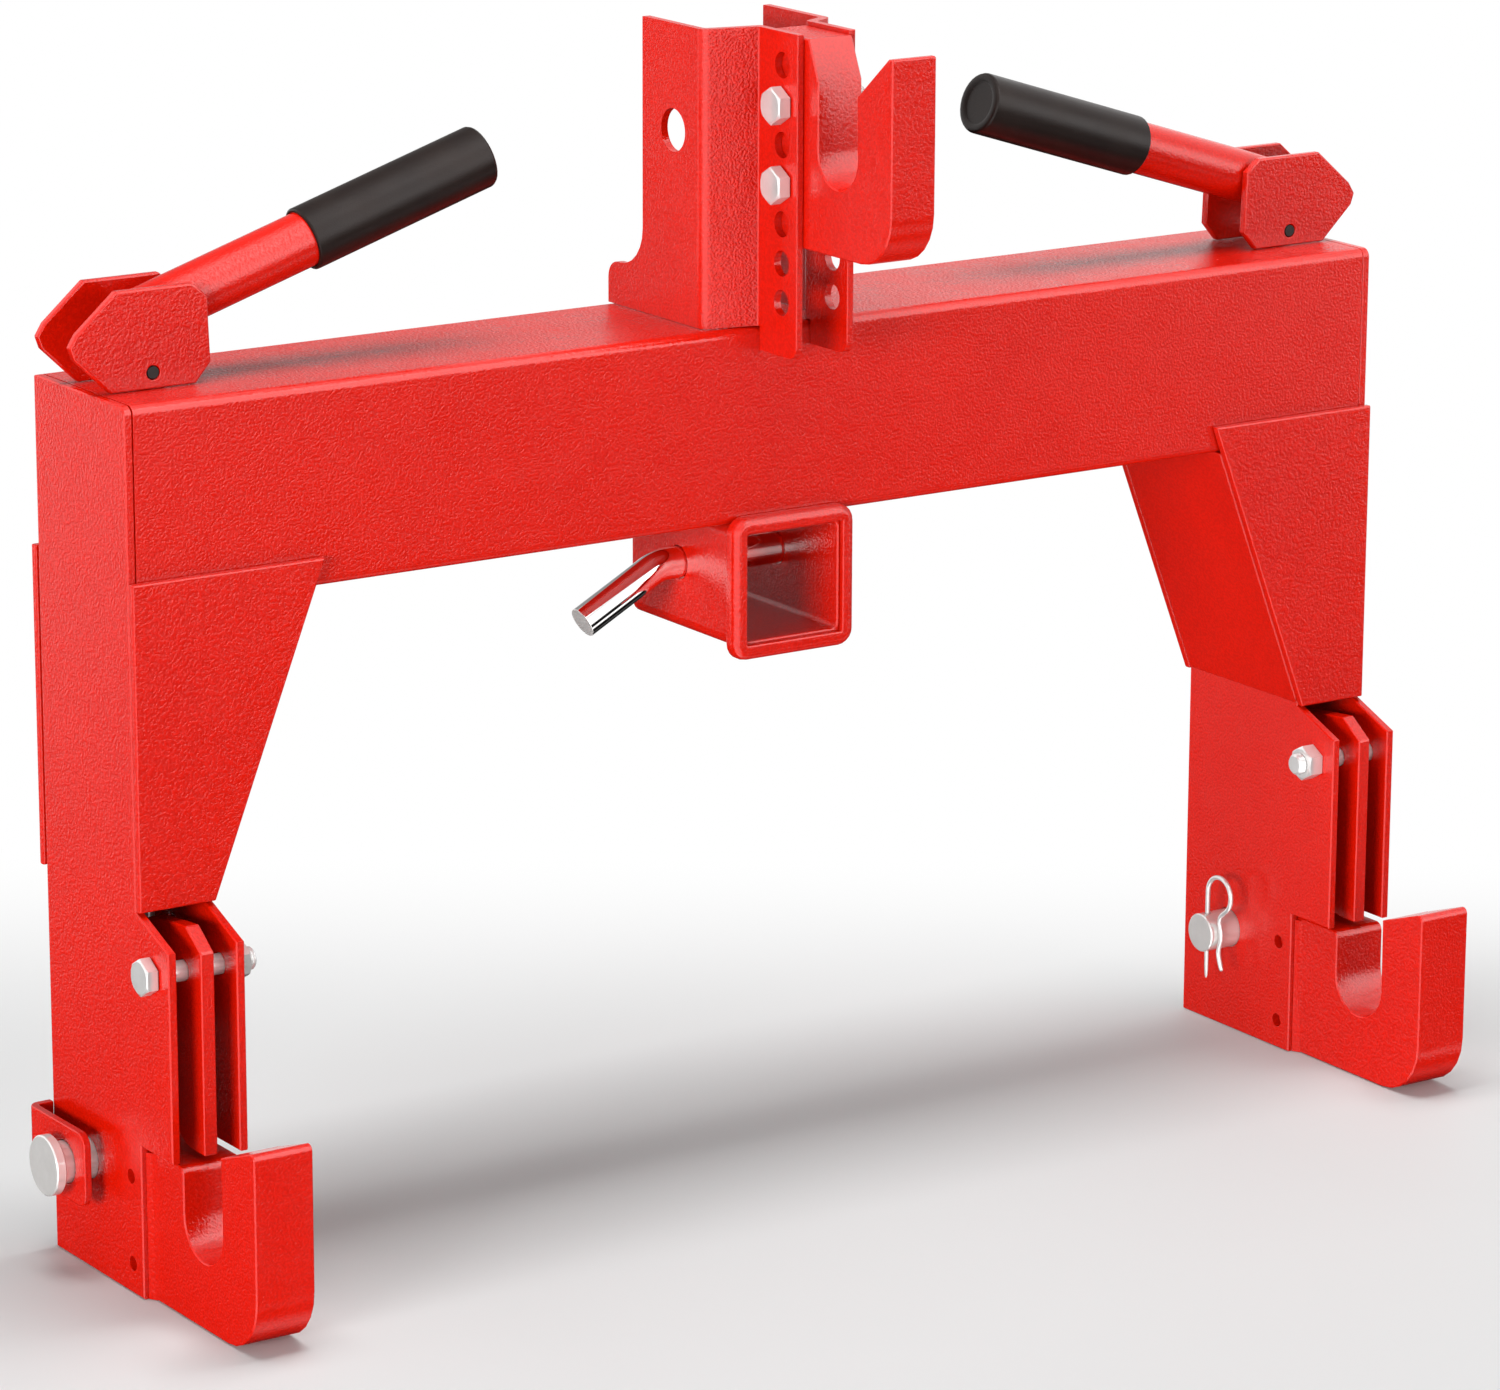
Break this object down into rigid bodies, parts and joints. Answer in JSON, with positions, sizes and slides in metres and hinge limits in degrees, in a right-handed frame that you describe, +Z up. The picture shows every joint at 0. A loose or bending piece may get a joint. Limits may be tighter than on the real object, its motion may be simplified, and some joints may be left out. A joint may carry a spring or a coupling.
{
  "type": "three point quick hitch",
  "caption": "Tractor quick hitch frame with lower hooks, a height-set top hook, latch handles, a receiver tube and link pins.",
  "frame": {"origin": "on the floor under the middle of the object's box, level with the flat bottoms of the legs and lower hooks", "axes": "+X along the crossbeam towards the right leg as the picture shows it, -Y the way the hooks point, +Z up"},
  "size_m": [0.7694, 0.1988, 0.5712],
  "materials": {
    "red_paint": "glossy red powder coat with a fine orange peel",
    "zinc_steel": "bright zinc plate",
    "chrome_steel": "bright plated pin",
    "spring_steel": "dull spring wire",
    "black_steel": "black oxide",
    "black_grip": "satin black sleeve"
  },
  "bodies": {
    "frame": {"crossbeam": "red_paint", "left_leg_outer_plate": "red_paint", "left_leg_inner_plate": "red_paint", "left_leg_back_plate": "red_paint", "left_front_gusset": "red_paint", "left_rear_gusset": "red_paint", "left_gusset_web": "red_paint", "left_lower_hook": "red_paint", "left_latch_bolt": "zinc_steel", "left_latch_nut": "zinc_steel", "left_return_spring": "spring_steel", "left_pin_bracket": "red_paint", "right_leg_outer_plate": "red_paint", "right_leg_inner_plate": "red_paint", "right_leg_back_plate": "red_paint", "right_front_gusset": "red_paint", "right_rear_gusset": "red_paint", "right_gusset_web": "red_paint", "right_lower_hook": "red_paint", "right_latch_bolt": "zinc_steel", "right_latch_nut": "zinc_steel", "right_return_spring": "spring_steel", "right_pin_bracket": "red_paint", "receiver_tube": "red_paint", "receiver_collar": "red_paint", "tower_left_plate": "red_paint", "tower_right_plate": "red_paint", "top_hook": "red_paint", "top_hook_upper_bolt": "zinc_steel", "top_hook_upper_nut": "zinc_steel", "top_hook_lower_bolt": "zinc_steel", "top_hook_lower_nut": "zinc_steel"},
    "left_rod": {"left_pull_rod": "zinc_steel"},
    "left_handle": {"left_handle_front_ear": "red_paint", "left_handle_rear_ear": "red_paint", "left_handle_pin": "black_steel", "left_handle_tube": "red_paint", "left_handle_grip": "black_grip"},
    "left_latch": {"left_latch_bar": "red_paint"},
    "left_link_pin": {"left_hitch_pin": "chrome_steel", "left_hitch_pin_clip": "zinc_steel"},
    "right_rod": {"right_pull_rod": "zinc_steel"},
    "right_handle": {"right_handle_front_ear": "red_paint", "right_handle_rear_ear": "red_paint", "right_handle_pin": "black_steel", "right_handle_tube": "red_paint", "right_handle_grip": "black_grip"},
    "right_latch": {"right_latch_bar": "red_paint"},
    "right_link_pin": {"right_hitch_pin": "chrome_steel", "right_hitch_pin_clip": "zinc_steel"},
    "drawbar_pin": {"receiver_pin": "chrome_steel"}
  },
  "joints": [
    {"name": "left_rod_lift", "type": "slide", "parent": "frame", "child": "left_rod", "axis": [0, 0, 1], "range_m": [0, 0.0402], "deforming": ["left_return_spring"]},
    {"name": "left_handle_swing", "type": "hinge", "parent": "left_rod", "child": "left_handle", "pos_m": [-0.3305, 0.0501, 0.4342], "axis": [0, -1, 0], "range_deg": [0, 100]},
    {"name": "left_latch_swing", "type": "hinge", "parent": "frame", "child": "left_latch", "pos_m": [-0.341, -0.0104, 0.1624], "axis": [1, 0, 0], "range_deg": [0, 17]},
    {"name": "left_pin_turn", "type": "hinge", "parent": "frame", "child": "left_link_pin", "pos_m": [-0.341, 0.0575, 0.055], "axis": [1, 0, 0], "continuous": true},
    {"name": "right_rod_lift", "type": "slide", "parent": "frame", "child": "right_rod", "axis": [0, 0, 1], "range_m": [0, 0.0402], "deforming": ["right_return_spring"]},
    {"name": "right_handle_swing", "type": "hinge", "parent": "right_rod", "child": "right_handle", "pos_m": [0.3305, 0.0501, 0.4342], "axis": [0, 1, 0], "range_deg": [0, 100]},
    {"name": "right_latch_swing", "type": "hinge", "parent": "frame", "child": "right_latch", "pos_m": [0.341, -0.0104, 0.1624], "axis": [1, 0, 0], "range_deg": [0, 17]},
    {"name": "right_pin_turn", "type": "hinge", "parent": "frame", "child": "right_link_pin", "pos_m": [0.341, 0.0575, 0.055], "axis": [1, 0, 0], "continuous": true},
    {"name": "drawbar_pin_slide", "type": "slide", "parent": "frame", "child": "drawbar_pin", "axis": [-1, 0, 0], "range_m": [0, 0.12]}
  ],
  "couplings": [
    {"joint": "left_rod_lift", "follows": "left_handle_swing", "m_per_rad": 0.023},
    {"joint": "left_latch_swing", "follows": "left_handle_swing", "ratio": 0.17},
    {"joint": "right_rod_lift", "follows": "right_handle_swing", "m_per_rad": 0.023},
    {"joint": "right_latch_swing", "follows": "right_handle_swing", "ratio": 0.17}
  ]
}
